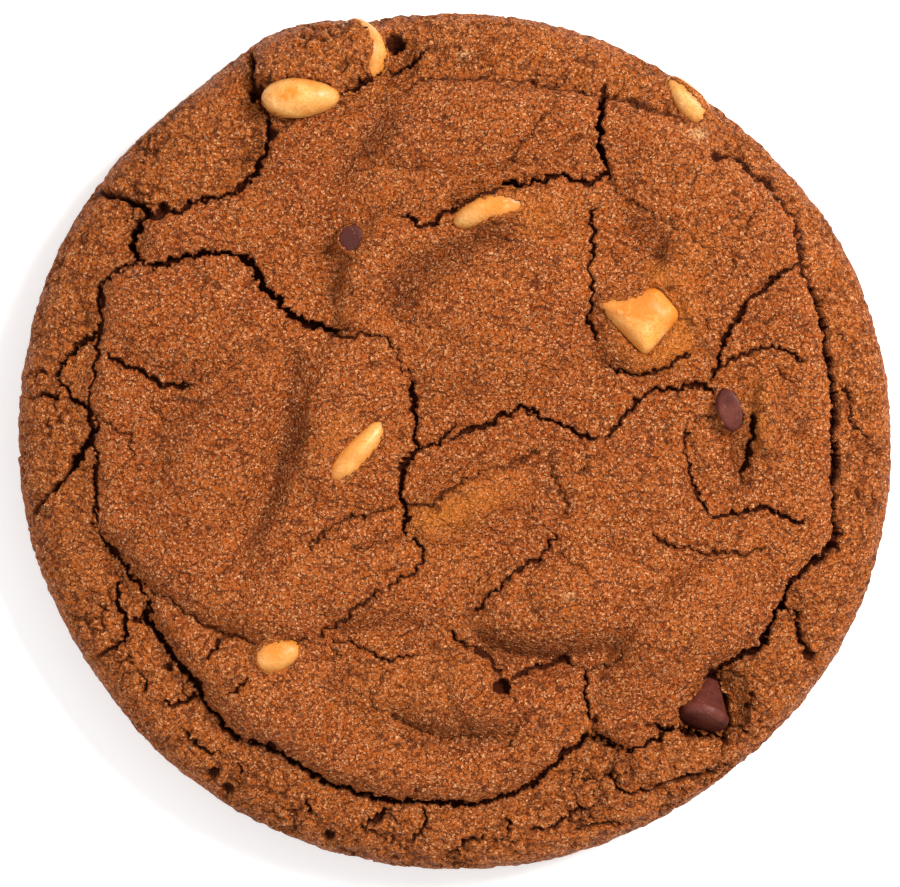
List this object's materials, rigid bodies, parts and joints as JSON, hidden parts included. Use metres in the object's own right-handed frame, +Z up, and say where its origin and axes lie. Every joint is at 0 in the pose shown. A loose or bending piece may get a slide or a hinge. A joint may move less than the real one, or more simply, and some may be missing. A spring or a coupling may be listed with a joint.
{
  "type": "protein cookie",
  "caption": "Thick round chocolate protein cookie with a rolled rim, a cracked raised plate, and peanuts and chocolate chips set in its top.",
  "frame": {"origin": "middle of the flat base, on the surface that the cookie lies on", "axes": "+Z up through the thickness, +X to the right and +Y away from the viewer when the cookie is seen from above"},
  "size_m": [0.1079, 0.1058, 0.0173],
  "materials": {
    "baked_dough": "matt crumbly baked chocolate dough",
    "peanut": "pale roasted nut with a soft oily shine",
    "butter_chip": "warm yellow peanut butter chip, softly shiny",
    "chocolate": "dark chocolate with a dull shine"
  },
  "bodies": {
    "root": {"dough": "baked_dough", "nut_top_left": "peanut", "nut_under_dome": "peanut", "nut_at_rim": "peanut", "nut_curved": "peanut", "nut_long": "peanut", "nut_low_left": "peanut", "butter_chip": "butter_chip", "chip_flat": "chocolate", "chip_small": "chocolate", "chip_cone": "chocolate"}
  },
  "joints": []
}
